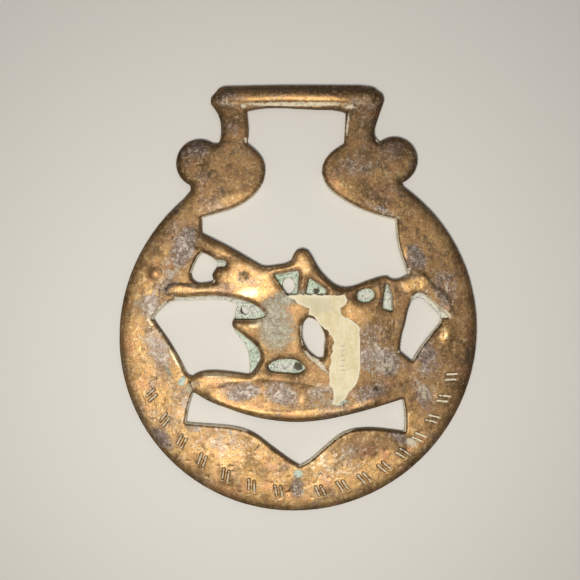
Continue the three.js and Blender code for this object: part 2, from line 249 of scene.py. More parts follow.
def rollover(reach, width, drop):
    """How far a surface is down, near an edge that is rounded over a width."""
    return drop * np.clip(1 - reach / width, 0, 1) ** 2


def from_oval(points, x, y, long, short, turn):
    """0 at the middle of an oval seen from above, and 1 on its border."""
    c, s = math.cos(math.radians(turn)), math.sin(math.radians(turn))
    dx, dy = points[:, 0] - x, points[:, 1] - y
    return np.hypot((dx * c + dy * s) / long, (dy * c - dx * s) / short)


def dome(points, *place):
    """1 at the middle of an oval, falling to 0 on its border."""
    return np.clip(1 - from_oval(points, *place) ** 2, 0, 1) ** 1.5


def spots(points, places):
    """1 inside the listed ovals and 0 outside them, with soft edges.

    Each place is x, y, half length, half width, turn in degrees, strength."""
    total = np.zeros(len(points))
    for *place, strength in places:
        total = np.maximum(total, strength * (1 - ramp(from_oval(points, *place), 0.35, 1.35)))
    return total


RING_BACK = 2.7  # height of the ring's back above the floor
FIGURE_BACK = 3.2  # height of the figure's back
RING_X, RING_Y = 0.0, -7.4  # the ring's middle


def from_middle(points):
    """How far each point is from the ring's middle, seen from above."""
    return np.hypot(points[:, 0] - RING_X, points[:, 1] - RING_Y)


def sunk(points, facing_up):
    """1 on the floors of the pockets and ledges, which all lie inside the ring."""
    inside = (1 - ramp(from_middle(points), 33.5, 34.5)) * (1 - ramp(points[:, 1], 12, 14))
    low = ramp(points[:, 2], 0.5, 0.8) * (1 - ramp(points[:, 2], 1.5, 1.8))
    return facing_up * inside * low


# %% Round the edges over
FIGURE_EDGE = (1.8, 0.4)  # mm across and mm down
OPENING_EDGE = (0.55, 0.12)
OUTER_EDGE = (2.6, 0.36)
FLOOR_FILLET = (0.7, 0.3)  # mm across and mm up
WALL_STEPS = 10  # points down a wall that sink with its rim
RIM_PASSES = 6

normals = normals_of(skin)
reach = to_walls(points, normals)
back = ramp(normals[:, 2], 0.3, 0.8)
high = back * ramp(points[:, 2], 1.9, 2.3)
floor_part = sunk(points, back)
figure_part = high * ramp(points[:, 2], 2.8, 3.05)
ring_part = high - figure_part
# near the outside of the ring and on the hanger
outside = np.maximum(ramp(from_middle(points), 33.0, 35.0), ramp(points[:, 1], 16.5, 18.5))
drop = figure_part * rollover(reach, *FIGURE_EDGE)
drop += ring_part * rollover(reach, *OPENING_EDGE)
drop += ring_part * outside * rollover(reach, *OUTER_EDGE)
drop -= floor_part * rollover(reach, *FLOOR_FILLET)
level = normals[:, 2] > 0.75
spread = drop * level
for _ in range(WALL_STEPS):
    spread = np.where(level, drop, blurred(spread, edges_of(skin), 1, 1.0))
points[:, 2] -= spread
rim = ramp(points[:, 2], 1.4, 1.8) * (1 - ramp(reach, 0.3, 0.7))
points += rim[:, None] * (blurred(points, edges_of(skin), RIM_PASSES) - points)
print("points on the figure:", int(figure_part.sum()), "on the ring:", int(ring_part.sum()))

# %% [markdown]
# ## Metal that ran
# Where the figure's arms reach over the ring, the metal has flowed together, so their ends
# are blurred into it. Small beads stand where metal filled a bubble in the mould.

# %% Beads of metal, and ends that melt into the ring
MELT_PASSES = 70
MELTED = (  # x, y, half length, half width, turn, strength
    (-30.2, 5.2, 2.6, 2.6, 0, 1.0),
    (31.5, -7.7, 3.2, 2.6, 70, 1.0),
    (-23.0, 13.0, 3.4, 2.6, 30, 1.0),
    (-25.0, 1.2, 1.8, 1.6, 0, 0.8),
    (31.0, -1.0, 2.0, 1.6, -45, 0.7),
    (24.0, 5.0, 2.6, 1.6, 40, 0.8),
)
melt = (high * spots(points, MELTED))[:, None]
points += melt * (blurred(points, edges_of(skin), MELT_PASSES) - points)
BEADS = (  # x, y, half length, half width, turn, rise above the ring
    (31.5, -7.7, 2.2, 1.3, 70, 0.14),
    (18.1, -14.9, 1.8, 1.3, 80, 0.15),
    (25.3, -9.3, 2.0, 1.0, 50, 0.15),
    (-30.2, 5.2, 1.5, 1.4, 0, 0.2),
)
for *place, rise in BEADS:
    points[:, 2] += rise * high * dome(points, *place)

# %% [markdown]
# ## Marks and cast skin
# Two rows of short stamped strokes run round the lower ring. They say nothing: they are
# plain pairs of strokes. A punch leaves a groove with a slight burr on both sides. The sand
# of the mould leaves low swells, small grain, and a few pits, and these are strongest where
# nobody filed the back smooth.

# %% Where the stamped strokes stand
ROW_RADIUS = 33.65  # from the ring's middle to the middle of a stroke
STROKE_ROWS = ((203, 263, 7), (278, 344, 9))  # first and last bearing, number of pairs
STROKE_LENGTH = 2.1
STROKE_PAIR = 1.2  # between the two strokes of a pair
STROKE_SLANT = 18  # degrees
STROKE_HALF_WIDTH = 0.36
STROKE_DEPTH = 0.3
STROKE_BURR = 0.08


def stroke_lines():
    """The ends of each stamped stroke, seen from above."""
    lines = []
    for first, last, count in STROKE_ROWS:
        for i in range(count):
            bearing = first + (last - first) * i / (count - 1)
            for side in (-1, 1):
                turn = bearing + side * math.degrees(STROKE_PAIR / 2 / ROW_RADIUS)
                lean = math.radians(bearing + STROKE_SLANT)
                x = RING_X + ROW_RADIUS * math.cos(math.radians(turn))
                y = RING_Y + ROW_RADIUS * math.sin(math.radians(turn))
                half = Vector((math.cos(lean), math.sin(lean))) * STROKE_LENGTH / 2
                lines.append((Vector((x, y)) - half, Vector((x, y)) + half))
    return lines


def from_line(points, start, end):
    """How far each point is from a line, seen from above."""
    along = np.array(end - start)
    offset = points[:, :2] - np.array(start)
    share = np.clip(offset @ along / (along @ along), 0, 1)
    return np.linalg.norm(offset - share[:, None] * along, axis=1)


def from_lines(points, lines):
    """How far each point is from the nearest of several lines."""
    return np.min([from_line(points, *line) for line in lines], axis=0)


strokes = stroke_lines()
print(len(strokes), "stamped strokes")

# %% The skin's height
def crater(distance, radius, depth, burr):
    """The height of a groove with a raised lip."""
    hollow = -depth * (1 - ramp(distance, 0.25 * radius, radius))
    return hollow + burr * np.exp(-(((distance - 1.25 * radius) / (0.4 * radius)) ** 2))


stroke_reach = from_lines(points, strokes)
near_stroke = ring_part * (1 - ramp(stroke_reach, 0.55, 0.8))  # a punch levels what it hits
points[:, 2] += near_stroke * (RING_BACK - points[:, 2])
struck = 0.75 + 0.25 * rough(points, 9.0, 17, 1)  # some pairs are more worn than others
groove = crater(stroke_reach, STROKE_HALF_WIDTH, STROKE_DEPTH, STROKE_BURR)
points[:, 2] += struck * ring_part * groove

filed = np.maximum(0.75 * figure_part, 0.8 * (1 - ramp(reach, 1.0, 2.6)) * high)
grainy = 1 - filed
RELIEF = (  # mm high, where it is strong, mm across, seed, octaves
    (0.055, 1.0, 6.0, 1, 3),
    (0.022, grainy, 2.2, 5, 3),
    (0.018, 0.25 + grainy, 0.8, 9, 2),
)
PITS = (  # mm deep, where they are deep, mm across, seed, where a lump becomes a pit
    (0.12, 0.1 + grainy, 1.1, 21, 0.62, 0.95),
    (0.08, 0.3 + grainy, 0.6, 27, 0.6, 0.9),
)
FLOOR_RELIEF = 0.05  # mm high on the floors of the pockets, which nobody filed

height = np.zeros(len(points))
for rise, where, size, seed, octaves in RELIEF:
    height += rise * where * rough(points, size, seed, octaves)
for depth, where, size, seed, begins, full in PITS:
    height -= depth * where * ramp(lumps(points, size, seed), begins, full)
height += FLOOR_RELIEF * floor_part * rough(points, 0.9, 33, 2)
height *= 0.35 + 0.65 * back  # the face and the walls are smoother
points += height[:, None] * normals
points[:, 2] = np.maximum(points[:, 2], 0)
move_points(skin, points)
print("deepest and highest skin, mm:", round(height.min(), 2), round(height.max(), 2))

# %% [markdown]
# ## Fewer triangles
# The even skin is far denser than the flat parts need. A decimate keeps small triangles
# where the surface bends and lets them grow where it doesn't.

# %% Decimate
MOST_TRIANGLES = 190000
triangles = sum(len(face.vertices) - 2 for face in skin.polygons)
decimate = casting.modifiers.new("fewer", "DECIMATE")
decimate.ratio = MOST_TRIANGLES / triangles
skin = apply_modifiers(casting)
skin.shade_smooth()
print(triangles, "triangles became", sum(len(face.vertices) - 2 for face in skin.polygons))

# %% [markdown]
# ## Where the surface is worn, dirty or green, and where light and shade are painted
# Old brass isn't one colour. Hands and straps rub its high places bright, its hollows keep
# brown tarnish, whitish polish and green verdigris, and a lilac bloom lies on some of the
# rest. These are painted as attributes, one number for each point: some are worked out from
# the shape itself, by comparing the surface with a blurred copy of itself, and some are laid
# down as soft ovals, given in lists. The columns of those lists are x, y, half length and half
# width in millimetres, the turn in degrees, and the strength.

# %% Measure the shape
BULGE_PASSES = 60  # how far around a point its surroundings are averaged

points = points_of(skin)
normals = normals_of(skin)
edges = edges_of(skin)
reach = to_walls(points, normals)
up = ramp(normals[:, 2], 0.3, 0.8)
high = up * ramp(points[:, 2], 1.9, 2.3)
floors = sunk(points, up)
walls = 1 - ramp(np.abs(normals[:, 2]), 0.25, 0.6)
figure_part = high * ramp(points[:, 2], 2.75, 3.0)
ring_part = high - figure_part
radius = from_middle(points)
bulge = np.sum((points - blurred(points, edges, BULGE_PASSES)) * normals, axis=1)
print("stands out of its surroundings by, mm:", np.percentile(bulge, [1, 50, 99]).round(3))

# %% Where the clouds of oxide lie
OXIDE = (  # dark and purple-grey
    (-29.1, -12.0, 6.0, 3.2, 118, 0.65),
    (-24.2, 10.8, 5.6, 3.0, 70, 1.0),
    (-28.2, 3.8, 4.6, 3.2, 80, 0.8),
    (-31.2, -1.6, 3.6, 3.0, 90, 0.8),
    (-11.6, -19.8, 4.2, 2.4, 5, 1.0),
    (-3.6, -20.2, 4.4, 3.2, -20, 0.9),
    (5.5, -20.5, 5.0, 2.4, 0, 0.55),
    (-28.7, -29.6, 3.6, 1.8, -48, 1.0),
    (-22.6, -27.3, 2.6, 1.2, -5, 0.8),
    (-0.3, -39.9, 1.8, 2.8, 0, 1.0),
    (12.5, -32.4, 5.6, 3.0, 10, 0.5),
    (21.6, -29.6, 3.6, 1.3, -25, 0.8),
    (15.0, -8.0, 3.0, 4.6, 0, 0.6),
    (17.0, -13.4, 6.5, 3.6, -10, 0.9),
    (14.5, -20.0, 5.0, 2.2, 15, 0.8),
    (24.9, 9.2, 4.0, 2.2, -65, 0.85),
    (17.8, 18.6, 4.2, 0.9, -22, 0.9),
    (31.0, 2.0, 6.0, 3.4, -75, 0.7),
    (27.2, -12.5, 5.0, 3.2, -75, 0.8),
    (26.6, -20.5, 4.4, 2.2, -65, 0.8),
    (-21.4, 31.4, 3.4, 3.0, 0, 0.6),
    (-13.6, 30.0, 4.6, 2.4, 20, 0.3),
    (12.3, 27.9, 5.6, 3.2, 5, 0.6),
    (19.6, 31.0, 4.2, 3.2, 0, 0.5),
    (-14.6, 42.0, 4.2, 2.6, 0, 0.6),
    (13.2, 41.4, 3.6, 2.2, 0, 0.6),
    (-13.8, 36.6, 2.0, 4.0, 0, 0.4),
    (14.0, 36.6, 2.0, 4.0, 0, 0.3),
    (-25.8, 20.4, 4.0, 1.6, 45, 0.7),
)

# %% Where it is rubbed to gold, and where light and highlights are painted
# gold spots: bare metal, and two painted lights, on the left lobe's lower edge and the round
# bar's lower half
GOLD = (  # bare metal
    (-33.5, -7.6, 6.4, 1.9, 92, 0.75),
    (-32.4, -20.0, 6.0, 2.6, 115, 0.8),
    (-30.8, 1.0, 2.2, 1.0, 10, 0.9),
    (-15.5, -32.0, 6.0, 4.0, -20, 1.0),
    (-6.5, -34.0, 4.0, 3.0, -45, 0.7),
    (5.4, -36.4, 2.8, 5.2, -15, 1.0),
    (-23.5, -25.0, 3.2, 4.6, 40, 0.8),
    (-8.0, -40.0, 8.0, 2.0, -15, 0.7),
    (10.0, -39.5, 6.0, 1.8, 20, 0.7),
    (24.6, 3.0, 3.6, 1.8, 10, 0.85),
    (-15.4, 9.8, 3.4, 1.6, -25, 0.55),
    (24.1, -26.8, 4.0, 3.6, 0, 0.6),
    (14.0, -36.5, 11.0, 4.5, 18, 0.8),
    (25.5, -30.5, 5.0, 3.5, 45, 0.6),
    (29.5, 14.0, 3.0, 6.0, 30, 0.35),
    (-26.5, 14.5, 3.0, 4.0, -30, 0.35),
    (22.8, 9.6, 0.5, 1.8, 0, 0.9),
    (-9.0, 3.5, 8.0, 6.0, 0, 0.9),
    (-21.0, 1.4, 7.5, 2.2, 0, 0.9),
    (0.5, 7.5, 4.0, 3.0, 0, 0.8),
    (-4.0, -6.0, 7.0, 10.0, 0, 0.6),
    (13.0, -4.0, 5.0, 5.0, 0, 0.55),
    (15.5, -9.0, 4.0, 5.0, 0, 0.35),
    (28.0, -21.0, 6.0, 4.0, 60, 0.35),
    (-12.0, -23.6, 11.0, 1.6, -8, 0.9),
    (-15.0, -16.9, 9.0, 1.2, 2, 1.0),
    (3.0, -24.4, 10.0, 1.4, 3, 0.8),
    (14.0, -22.4, 6.0, 1.0, 14, 0.6),
    # painted highlight along the lower edge of the left lobe
    (-13.5, 20.4, 7.5, 2.2, 22, 0.5),
    (10.0, 23.4, 4.0, 3.0, -30, 0.4),
    # painted light on the lower half of the round bar, which faces the lamp
    (-0.5, 41.6, 13.0, 1.4, 0, 0.9),
    (18.1, -14.9, 1.6, 1.2, 80, 0.9),
    (25.6, -9.4, 2.6, 0.9, 50, 0.7),
    (-30.2, 5.2, 1.6, 1.5, 0, 0.8),
    (31.5, -7.7, 2.6, 1.6, 70, 1.0),
)
# pale spots, mostly painted highlights: the glint on the figure, and bright lines along lit
# bevels, edges and a bead
BRIGHT = (  # bare and polished
    (-10.2, 1.1, 3.0, 1.5, 8, 0.75),
    (-19.6, 1.5, 5.0, 0.9, 0, 0.4),
    (-9.0, -5.2, 1.8, 1.5, 20, 0.8),
    (-16.5, -16.2, 5.0, 0.7, 2, 0.9),
    (-25.6, -12.9, 3.8, 0.6, 122, 1.0),
    (-31.2, -4.9, 1.8, 0.9, -50, 0.7),
    (-12.5, 20.4, 4.5, 0.8, 26, 0.3),
    (31.3, -8.0, 1.6, 0.6, 75, 0.6),
    (4.4, -34.6, 1.2, 3.4, -30, 0.5),
    (-15.0, -33.0, 9.0, 4.0, -20, 0.4),
    (7.0, -35.5, 7.0, 4.5, 10, 0.45),
)

# %% Where dirt, polish, glue and haze lie, and some painted light and shade
VERDIGRIS = (  # green, outside the pockets
    (0.0, -37.1, 1.2, 0.9, 0, 1.0),
    (-24.5, -17.6, 1.4, 1.0, 60, 0.8),
    (9.2, -22.0, 2.0, 0.9, 20, 0.6),
    (-25.4, 3.0, 0.8, 0.8, 0, 0.4),
    (-27.0, -2.6, 2.2, 0.6, 30, 0.5),
    (-27.5, -15.6, 2.4, 0.8, 118, 0.45),
)
# dark spots: mostly dirt; the one beside the bead is painted shade
DARK = (  # dirt
    (-25.8, 18.3, 0.9, 0.8, 0, 1.0),
    (35.8, -12.0, 0.8, 2.6, 0, 0.8),
    (16.4, -19.1, 1.1, 0.7, 0, 0.8),
    (-11.3, 4.7, 2.0, 1.7, 20, 0.62),
    (25.1, 8.8, 1.8, 0.9, -60, 0.5),
    (21.9, 28.0, 0.9, 0.6, 0, 0.5),
    (12.6, -32.3, 0.9, 0.7, 60, 0.6),
    (-8.7, -31.6, 1.2, 0.4, 50, 0.7),
    (0.1, -14.6, 1.2, 1.2, 0, 1.0),
    (3.9, 1.5, 1.0, 0.8, 0, 0.9),
    (-28.4, -29.4, 2.2, 1.2, -48, 0.4),
    (33.4, 5.0, 3.0, 1.4, -70, 0.4),
    (26.0, -1.6, 1.2, 0.5, -60, 0.5),
    # darker along the left side of the torn hole in the ledge
    (-11.9, -2.7, 0.5, 0.9, 0, 1.0),
    # painted shade on the right side of the bead
    (-28.9, 5.6, 0.5, 1.3, 20, 0.5),
)
# pale spots: dried polish, and two painted highlights, along the bar's lower edge and on the
# slot's right wall
CRUST = (  # dried polish
    (-22.9, -18.8, 2.8, 1.4, 35, 0.65),
    (-27.0, -20.6, 2.4, 1.0, -60, 0.4),
    (4.7, -14.0, 3.2, 0.7, -45, 1.0),
    (31.3, -3.2, 2.0, 0.7, -45, 0.9),
    (-26.2, 5.6, 2.4, 0.8, 60, 0.7),
    (-27.0, 0.8, 1.2, 0.6, -30, 0.6),
    (-33.9, -1.3, 2.4, 1.8, 20, 0.5),
    (-18.0, 3.6, 0.8, 0.5, 20, 0.9),
    (-14.1, -28.6, 0.8, 1.6, 0, 0.6),
    (17.5, -14.2, 5.0, 3.0, 0, 0.55),
    (26.4, -19.7, 3.6, 1.2, -65, 0.6),
    (-27.5, -10.0, 3.4, 1.6, 120, 0.5),
    # painted highlight along the lower edge of the round bar, which faces the lamp
    (-0.3, 41.0, 14.0, 0.55, 0, 1.0),
    (-11.5, 40.6, 1.0, 0.6, 0, 0.9),
    (10.9, 40.4, 1.2, 0.7, 0, 0.9),
    # painted light on the slot's right wall, which faces the lamp
    (10.5, 36.6, 4.0, 0.4, 84, 0.8),
    (-11.1, 33.4, 0.5, 0.8, 0, 0.9),
    (16.9, 33.4, 0.7, 0.5, 0, 0.9),
    (14.1, 37.9, 0.4, 0.7, 0, 0.8),
    (21.3, 16.9, 0.8, 0.6, 0, 0.8),
    (17.9, 18.0, 0.7, 0.4, 0, 0.6),
    (23.3, 5.6, 1.3, 0.6, 60, 0.9),
    (31.3, 2.0, 1.3, 0.3, 110, 0.9),
    (32.6, -1.0, 0.9, 0.25, 60, 0.8),
    (27.2, 1.6, 0.8, 0.4, 60, 0.8),
    (21.2, -11.3, 0.5, 0.4, 0, 0.9),
    (0.8, -8.0, 3.8, 0.4, 95, 0.8),
    (2.4, -12.3, 2.4, 0.45, -50, 0.9),
    (19.5, 25.8, 2.6, 2.0, 0, 0.45),
    (5.0, -22.0, 5.0, 2.0, 0, 0.5),
    (-3.5, -22.0, 3.0, 1.6, 0, 0.4),
    (22.3, -5.4, 1.0, 0.7, 0, 0.4),
    (24.0, -30.6, 2.2, 1.3, -35, 0.8),
    (34.0, -5.0, 1.6, 1.2, 0, 0.4),
    (24.6, -8.6, 1.8, 1.0, 60, 0.4),
    (-29.1, -2.0, 2.8, 0.6, 48, 0.9),
    (-19.5, -0.4, 8.0, 0.5, -3, 0.7),
    (23.9, -0.3, 1.8, 0.6, 55, 0.8),
    (28.4, -0.8, 3.0, 0.6, -42, 0.8),
)
CHALK = (  # floors that are white rather than green
    (-2.9, -14.6, 3.4, 1.2, 0, 0.8),
    (14.3, 0.6, 2.0, 1.4, 0, 0.9),
    (19.0, -0.2, 1.3, 2.6, 0, 0.8),
    (-10.6, -3.0, 2.6, 1.4, 0, 0.6),
    (-19.5, -0.8, 15.0, 4.0, 0, 1.0),
    (28.0, 0.0, 10.0, 6.0, -42, 1.0),
    (-15.9, 7.1, 1.3, 1.1, 0, 0.9),
    (-24.6, 6.9, 1.5, 1.0, 0, 0.8),
)
FILM = (  # glue of the label
    (-4.6, -6.0, 4.2, 6.2, 8, 1.0),
    (-2.6, 0.0, 5.4, 2.0, 15, 0.9),
    (-6.0, -1.6, 2.6, 2.4, 60, 0.8),
)
HAZE = (  # a pale lilac bloom on the metal
    (-11.6, -19.8, 4.2, 2.2, 5, 0.65),
    (-3.6, -20.2, 4.4, 2.8, -20, 0.6),
    (5.5, -20.0, 5.0, 2.4, 0, 0.6),
    (-29.4, -10.6, 5.4, 3.0, 118, 0.8),
    (-31.0, -1.6, 3.4, 2.8, 90, 0.8),
    (-26.8, 7.0, 3.4, 2.2, 80, 0.55),
    (-24.2, 10.8, 5.0, 2.6, 70, 0.5),
    (-16.0, -29.6, 9.0, 5.0, -20, 0.55),
    (-24.6, -23.6, 4.0, 3.4, 40, 0.5),
    (8.0, -34.5, 6.0, 4.5, 20, 0.45),
    (-9.5, 4.8, 5.0, 3.4, 0, 0.45),
    (16.6, -12.6, 6.5, 4.0, -10, 0.6),
    (26.8, -18.0, 5.6, 3.0, -70, 0.45),
)

# %% Work the attributes out
LAMP = (-15, -24, 175)  # where the main lamp will stand, in mm
SEEN_FROM = (-16, -11)  # a spot near the lamp and the eye, in mm


def facing(spot):
    """How much each point's surface leans towards a spot, seen from above."""
    towards = np.array(spot, float) - points[:, :2]
    towards /= np.linalg.norm(towards, axis=1)[:, None]
    return np.sum(towards * normals[:, :2], axis=1)


# painted light: a pool of light towards the lower left, where the lamp stands, laid into the
# rubbed gold and the worn edges
gradient = ramp(-0.7 * points[:, 0] - 0.7 * points[:, 1], -20, 34)  # most at the lower left
wear_and_painted_light = np.maximum(0.6 * gradient, spots(points, GOLD)) * high
worn_edge = ramp(bulge, 0.04, 0.25) * ramp(normals[:, 2], 0.6, 0.9)
wear_and_painted_light = np.maximum(wear_and_painted_light, figure_part * worn_edge * (0.2 + 0.4 * gradient))
hollow = ramp(-bulge, 0.05, 0.25) * np.maximum(up, 0.5) * (1 - floors)
hollow *= 1 - spots(points, MELTED)
dirt_and_painted_shade = np.maximum(0.5 * hollow, spots(points, DARK) * up)
steep = 1 - ramp(normals[:, 2], 0.5, 0.8)  # walls and rims, where polish collects
# inside the outline, so that the walls there belong to an opening
openings = 1 - np.maximum(ramp(radius, 33.0, 35.0), ramp(points[:, 1], 34.0, 36.0))
lit = ramp(facing(LAMP[:2]), 0.15, 0.5)
shaded = ramp(-facing(SEEN_FROM), 0.3, 0.65)  # it faces away from the lamp and the eye
# painted shade: walls are darkened unless they face the lamp, and slopes that face away from
# the lamp and the eye are darkened as well, in the dirt's dark colour
dirt_and_painted_shade = np.maximum(dirt_and_painted_shade, walls * (0.5 + 0.4 * shaded) * (1 - lit * openings))
dirt_and_painted_shade = np.maximum(dirt_and_painted_shade, 0.75 * shaded)
# painted light: walls and rims that face the lamp are painted pale, in the colour of the dried
# polish
polish_and_painted_light = np.maximum(spots(points, CRUST) * up, steep * openings * (0.1 + 1.2 * lit))
in_stroke = 1 - ramp(from_lines(points, strokes), 0.14, 0.42)
polish_and_painted_light = np.maximum(polish_and_painted_light, ring_part * in_stroke * (1.0 - 0.25 * gradient))
print("facing the light:", round(100 * float(np.mean(lit > 0.5)), 1), "% of the points")

# %% Paint them
def paint(mesh, painted):
    """Store each named array as an attribute, with a number from 0 to 1 for each point."""
    for name, values in painted.items():
        layer = mesh.attributes.new(name, "FLOAT", "POINT")
        layer.data.foreach_set("value", np.clip(values, 0, 1).astype(np.float32))
        print(name, "covers", round(100 * float(np.mean(values > 0.5)), 1), "% of the points")


paint(skin, {
    "wear_and_painted_light": wear_and_painted_light,
    "polish_and_painted_highlight": spots(points, BRIGHT) * high,
    "dirt_and_painted_shade": dirt_and_painted_shade,
    "oxide": spots(points, OXIDE) * up * (1 - 0.7 * spots(points, MELTED[:2])),
    "green": np.maximum(0.95 * floors, spots(points, VERDIGRIS) * up),
    "chalk": spots(points, CHALK) * floors,
    "polish_and_painted_light": polish_and_painted_light,
    "film": spots(points, FILM) * high,
    "haze": spots(points, HAZE) * high,
})

# %% [markdown]
# ## A way to write materials
# Colours are given as hex values, as on a screen, and turned to the linear light that
# Blender works in. One small function adds a node, gives it its settings and joins its
# inputs. Old metal and old paper are both painted the same way, in many thin layers of
# colour, so a loop over a list of layers does that.

# %% Colours, nodes and layers
def linear(hex_colour):
    """An sRGB hex colour as a linear RGBA tuple."""
    parts = [int(hex_colour[i : i + 2], 16) / 255 for i in (1, 3, 5)]
    light = [c / 12.92 if c <= 0.04045 else ((c + 0.055) / 1.055) ** 2.4 for c in parts]
    return (*light, 1.0)


def add(tree, kind, settings, *values, gives=None, **inputs):
    """Add a node, and return its first output or the one that is named.

    Values fill its inputs in order, and the others by name. Each is a number, a hex colour
    or another node's output."""
    node = tree.nodes.new("ShaderNode" + kind)
    for name, value in settings.items():
        setattr(node, name, value)
    sockets = [socket for socket in node.inputs if socket.enabled]
    pairs = list(zip(sockets, values))
    for name, value in inputs.items():
        pairs.append((node.inputs[name.replace("_", " ")], value))
    for socket, value in pairs:
        if isinstance(value, bpy.types.NodeSocket):
            tree.links.new(value, socket)
        else:
            socket.default_value = linear(value) if isinstance(value, str) else value
    outputs = [socket for socket in node.outputs if socket.enabled]
    return node.outputs[gives] if gives else outputs[0] if outputs else None


SMOOTH = {"interpolation_type": "SMOOTHSTEP"}
COLOUR = {"data_type": "RGBA"}
NUMBER = {"data_type": "FLOAT"}


def in_layers(tree, colour, layers):
    """Colours laid over each other. A layer is what it follows, from where it begins to
    where it is full, how strong it then is, and its colour."""
    for follows, begins, full, most, above in layers:
        share = add(tree, "MapRange", SMOOTH, follows, begins, full, 0.0, most)
        colour = add(tree, "Mix", COLOUR, share, colour, above)
    return colour


def frayed(tree, name, frays, amount):
    """A painted attribute, with noise added to it wherever it isn't 0."""
    painted = add(tree, "Attribute", {"attribute_name": name}, gives="Fac")
    near = add(tree, "Math", {"operation": "MULTIPLY", "use_clamp": True}, painted, 4.0)
    swing = add(tree, "Math", {"operation": "MULTIPLY_ADD"}, frays, 2 * amount, -amount)
    return add(tree, "Math", {"operation": "MULTIPLY_ADD"}, near, swing, painted)


def new_material(name):
    """An empty material and its node tree."""
    material = bpy.data.materials.new(name)
    material.use_nodes = True
    material.node_tree.nodes.clear()
    return material, material.node_tree


# %% [markdown]
# ## Aged cast brass
# The metal is brass, cast in sand and roughly filed, then tarnished for decades. Rubbed
# places are pale gold and fairly smooth, and the same layer holds a painted pool of light
# towards the lower left; pale painted highlights lie over polished places. Elsewhere a thin
# brown oxide lies on the metal, with purple-grey clouds and a pale lilac haze in it, and it
# dulls the reflection. Verdigris, polish residue and glue are matt films that hide the metal;
# the polish layer is also painted light on walls that face the lamp, and a dark layer of dirt
# is also painted shade on walls and slopes that face away from it. Each is a layer: its
# attribute says where it lies, and noise at the size of real grain breaks its border up. The
# noise has a fourth coordinate, so that each size of it can start at a place of its own.

# %% Noise at the sizes of the real grain
brass, tree = new_material("aged_cast_brass")
place = add(tree, "TexCoord", {}, gives="Object")
GRAINS = {  # mm from one feature to the next
    "stain": 7.0,
    "cloud": 4.5,
    "blotch": 2.4,
    "speck": 0.8,
    "fleck": 0.35,
    "dust": 0.4,
    "copper": 3.4,
    "stray": 5.0,
}
noise = {}
for number, (name, size) in enumerate(GRAINS.items()):
    noise[name] = add(
        tree,
        "TexNoise",
        {"noise_dimensions": "4D"},
        Vector=place,
        W=7.0 * number,
        Scale=1 / (size * MM),
        Detail=4.0,
        Roughness=0.6,
    )
stain, cloud, blotch, speck, fleck, dust, copper, stray = noise.values()
mottle = add(tree, "Mix", NUMBER, 0.5, blotch, speck)
print("noise sizes, mm:", list(GRAINS.values()))

# %% Ragged borders for the painted places
BORDERS = (  # attribute, the noise that frays it, by how much, where it begins and is full
    ("wear_and_painted_light", blotch, 0.9, 0.15, 0.9),
    ("polish_and_painted_highlight", speck, 0.5, 0.2, 1.0),
    ("oxide", mottle, 1.2, 0.1, 1.15),
    ("dirt_and_painted_shade", speck, 0.6, 0.3, 0.9),
    ("green", speck, 0.6, 0.3, 0.7),
    ("chalk", blotch, 0.5, 0.2, 0.7),
    ("polish_and_painted_light", speck, 1.1, 0.35, 1.0),
    ("film", mottle, 1.3, 0.05, 1.3),
    ("haze", mottle, 1.3, 0.05, 1.3),
)
shares = {}
for name, frays, amount, begins, full in BORDERS:
    share = frayed(tree, name, frays, amount)
    shares[name] = add(tree, "MapRange", SMOOTH, share, begins, full, 0.0, 1.0)

# %% The metal and its tarnish
purple = in_layers(tree, "#6E625B", (
    (speck, 0.44, 0.62, 1.0, "#A99C92"),
    (blotch, 0.45, 0.65, 0.6, "#544744"),
    (fleck, 0.5, 0.62, 0.8, "#3E3431"),
    (dust, 0.55, 0.66, 0.35, "#CFC6BC"),
))
gold = in_layers(tree, "#BE955C", (
    (blotch, 0.35, 0.6, 1.0, "#A48152"),
    (cloud, 0.45, 0.65, 0.6, "#CFAA72"),
    (speck, 0.5, 0.68, 0.7, "#DCC49A"),
    (fleck, 0.55, 0.7, 0.6, "#7F6340"),
    (copper, 0.5, 0.66, 0.5, "#B98260"),
))
haze = in_layers(tree, "#B5A699", (
    (speck, 0.44, 0.64, 1.0, "#DCD1C4"),
    (fleck, 0.52, 0.66, 0.7, "#857872"),
))
metal = in_layers(tree, "#644D32", (
    (stain, 0.38, 0.62, 1.0, "#8E6F4A"),
    (blotch, 0.5, 0.68, 0.7, "#4C3F31"),
    (speck, 0.48, 0.7, 0.8, "#AB8D63"),
    (copper, 0.5, 0.68, 0.35, "#96684C"),
    # rubbed gold, with the painted pool of light at the lower left and painted light on lit
    # curves
    (shares["wear_and_painted_light"], 0.0, 1.0, 1.0, gold),
    # painted highlights on polished places
    (shares["polish_and_painted_highlight"], 0.0, 1.0, 0.6, "#E9D7AE"),
    (stray, 0.5, 0.66, 0.45, purple),
    (shares["oxide"], 0.0, 1.0, 0.85, purple),
    (shares["haze"], 0.0, 1.0, 0.75, haze),
    (fleck, 0.54, 0.66, 0.6, "#42332A"),
    (dust, 0.57, 0.68, 0.3, "#D6CCB6"),
))

